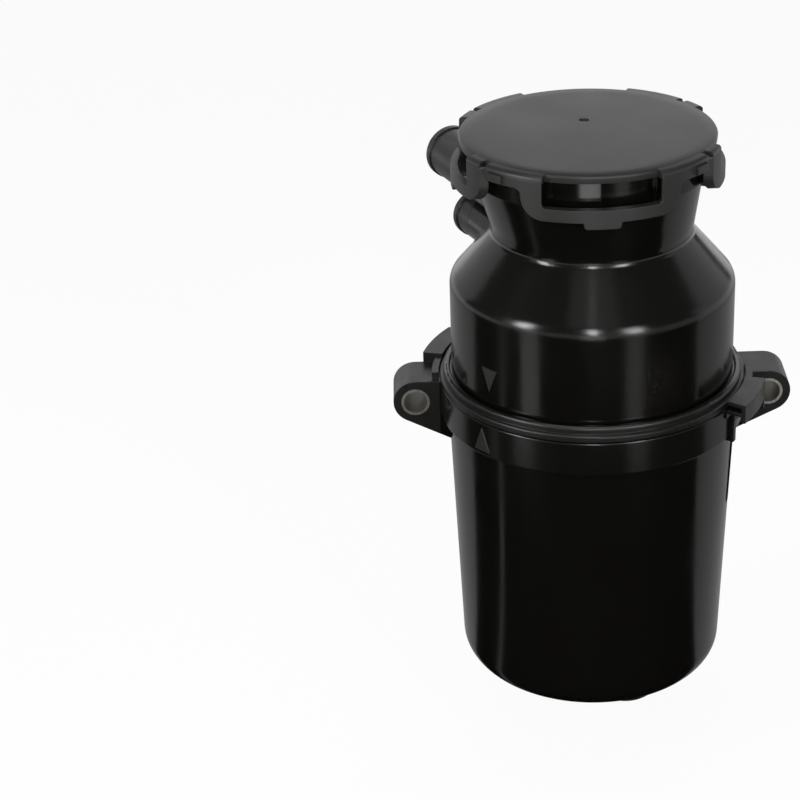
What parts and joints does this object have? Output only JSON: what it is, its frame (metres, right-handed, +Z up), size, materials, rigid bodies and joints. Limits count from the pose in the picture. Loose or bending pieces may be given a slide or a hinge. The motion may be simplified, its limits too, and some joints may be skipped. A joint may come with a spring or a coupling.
{
  "type": "engine breather filter",
  "caption": "Upright oil-mist breather filter: cup and bell housing joined by a bayonet, twist-off service cap, hose stubs, mounting ears and a pleated element with valves inside.",
  "frame": {"origin": "on the axis of the cup, level with the bolts of the two ears and midway between them", "axes": "+Z up along the axis of the cup, +X to the right ear seen from the front, +Y to the back where the hose stubs and the drain flange point"},
  "size_m": [0.185, 0.1449, 0.3121],
  "materials": {
    "housing_black": "glossy black moulding",
    "cap_charcoal": "matt charcoal moulding",
    "sleeve_steel": "plated rolled steel",
    "seal_rubber": "black rubber",
    "valve_plastic": "dark moulding",
    "element_plastic": "dark filled moulding",
    "media_fleece": "pleated off-white fleece",
    "wrap_fleece": "pale drainage fleece",
    "spring_steel": "bright spring wire"
  },
  "bodies": {
    "lower": {"lower_housing": "housing_black", "ear_sleeve_left": "sleeve_steel", "ear_sleeve_right": "sleeve_steel", "drain_sleeve": "sleeve_steel", "drain_flange_seal": "seal_rubber", "drain_valve_cage": "valve_plastic"},
    "upper": {"upper_housing": "housing_black", "housing_seal_ring": "seal_rubber", "element_top_cap": "element_plastic", "element_seal_ring": "seal_rubber", "element_core": "element_plastic", "filter_media": "media_fleece", "element_wrap": "wrap_fleece", "element_bottom_cap": "element_plastic", "bypass_retainer": "valve_plastic", "bypass_spring": "spring_steel"},
    "cap": {"service_cap": "cap_charcoal", "cap_seal_ring": "seal_rubber"},
    "bypass": {"bypass_poppet": "valve_plastic"},
    "drain_valve": {"drain_valve_disc": "seal_rubber"}
  },
  "joints": [
    {"name": "housing_twist", "type": "hinge", "parent": "lower", "child": "upper", "pos_m": [0, 0, 0], "axis": [0, 0, 1], "range_deg": [-30, 0]},
    {"name": "cap_twist", "type": "hinge", "parent": "upper", "child": "cap", "pos_m": [-0.0022, 0, 0.12], "axis": [0, 0, 1], "range_deg": [0, 27]},
    {"name": "bypass_lift", "type": "slide", "parent": "upper", "child": "bypass", "axis": [0, 0, 1], "range_m": [0, 0.006], "stiffness_N_per_m": 300, "springref_m": -0.008, "deforming": ["bypass_spring"]},
    {"name": "drain_valve_slide", "type": "slide", "parent": "lower", "child": "drain_valve", "axis": [0, 1, 0], "range_m": [0, 0.004]}
  ]
}
